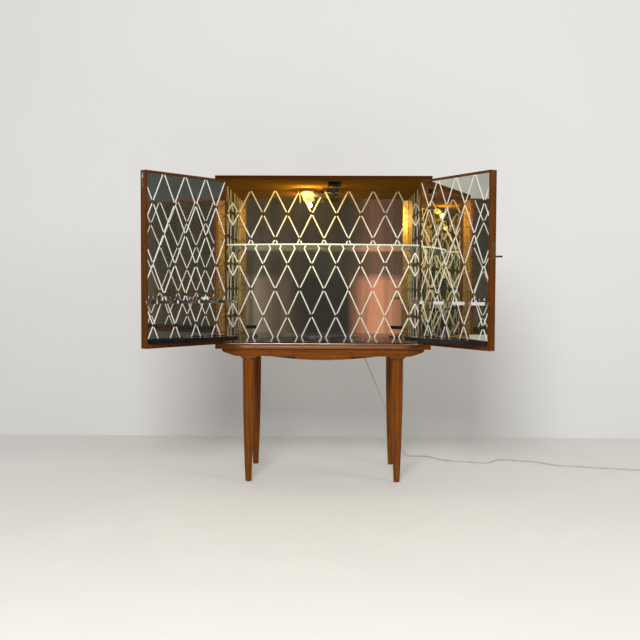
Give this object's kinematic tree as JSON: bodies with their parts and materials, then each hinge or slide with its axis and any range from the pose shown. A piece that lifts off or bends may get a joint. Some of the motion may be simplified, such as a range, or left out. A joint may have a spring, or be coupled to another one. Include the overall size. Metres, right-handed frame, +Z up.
{
  "type": "bar cabinet",
  "caption": "Standing bar cabinet on round tapered legs: mirrored interior and doors with a diamond lattice, glass shelf, bottle trays, lamp and pull-out slide.",
  "frame": {"origin": "floor level, under the middle of the cabinet with its doors open as pictured", "axes": "+X to the right seen from the front, +Y to the back, +Z up"},
  "size_m": [2.1167, 0.8976, 1.21],
  "materials": {
    "teak": "satin oil",
    "dark_teak": "satin oil",
    "plywood": "matt",
    "batten_wood": "matt",
    "mirror_glass": "silvered, ground lattice",
    "clear_glass": "polished",
    "black_lacquer": "gloss",
    "brass": "aged",
    "bright_steel": "polished",
    "black_metal": "satin",
    "black_plastic": "gloss",
    "bulb_glass": "frosted",
    "cord_plastic": "matt"
  },
  "bodies": {
    "case": {"top_panel": "dark_teak", "bottom_panel": "teak", "left_side_panel": "teak", "right_side_panel": "teak", "back_panel": "plywood", "inner_floor": "black_lacquer", "back_mirror": "mirror_glass", "left_side_mirror": "mirror_glass", "right_side_mirror": "mirror_glass", "glass_shelf": "clear_glass", "shelf_supports": "black_metal", "left_hinge_case_leaf": "brass", "right_hinge_case_leaf": "brass", "hinge_pins": "brass", "case_screws": "brass", "door_catch_block": "black_lacquer", "lamp_bracket": "brass", "lamp_socket": "black_plastic", "lamp_bulb": "bulb_glass", "switch_box": "black_plastic", "inner_lead": "cord_plastic", "cord_grommet": "black_plastic", "power_cord": "cord_plastic", "mains_plug": "cord_plastic", "left_front_bracket": "teak", "right_front_bracket": "teak", "rear_rail": "teak", "left_side_rail": "teak", "right_side_rail": "teak", "front_left_leg": "teak", "front_right_leg": "teak", "rear_left_leg": "teak", "rear_right_leg": "teak", "slide_runners": "batten_wood", "slide_stops": "batten_wood"},
    "left_door": {"left_door_panel": "teak", "left_door_bead": "teak", "left_door_mirror": "mirror_glass", "left_door_tray": "black_lacquer", "left_bottle_rail": "bright_steel", "left_hinge_door_leaf": "brass", "left_door_screws": "brass", "flush_bolt_plate": "bright_steel"},
    "right_door": {"right_door_panel": "teak", "right_door_bead": "teak", "right_door_mirror": "mirror_glass", "right_door_tray": "black_lacquer", "right_bottle_rail": "bright_steel", "right_hinge_door_leaf": "brass", "right_door_screws": "brass", "lock_case": "bright_steel", "lock_face_plate": "bright_steel", "key_escutcheon": "brass"},
    "flush_bolt": {"flush_bolt_slide": "bright_steel"},
    "lock_bolt": {"lock_bolt": "bright_steel"},
    "key": {"key": "black_metal"},
    "pull_out_slide": {"slide_front": "teak", "slide_board": "plywood"},
    "lamp_switch": {"switch_rocker": "black_plastic"}
  },
  "joints": [
    {"name": "left_door_hinge", "type": "hinge", "parent": "case", "child": "left_door", "pos_m": [-0.3985, -0.02361, 0.8705], "axis": [0, 0, -1], "range_deg": [-129.56, 45]},
    {"name": "right_door_hinge", "type": "hinge", "parent": "case", "child": "right_door", "pos_m": [0.3985, -0.02361, 0.8705], "axis": [0, 0, 1], "range_deg": [-122.67, 52]},
    {"name": "flush_bolt_travel", "type": "slide", "parent": "left_door", "child": "flush_bolt", "axis": [0, 0, 1], "range_m": [0, 0.012]},
    {"name": "key_turn", "type": "hinge", "parent": "right_door", "child": "key", "pos_m": [0.59159, -0.35121, 0.887], "axis": [-0.8418, -0.5398, 0], "range_deg": [0, 90]},
    {"name": "lock_bolt_travel", "type": "slide", "parent": "right_door", "child": "lock_bolt", "axis": [0.5398, -0.8418, 0], "range_m": [0, 0.01]},
    {"name": "slide_travel", "type": "slide", "parent": "case", "child": "pull_out_slide", "axis": [0, -1, 0], "range_m": [0, 0.25]},
    {"name": "lamp_switch_rock", "type": "hinge", "parent": "case", "child": "lamp_switch", "pos_m": [0.037, 0.24969, 1.172], "axis": [0, 1, 0], "range_deg": [-7, 7]}
  ],
  "couplings": [
    {"joint": "key_turn", "follows": "lock_bolt_travel", "rad_per_m": 157}
  ]
}
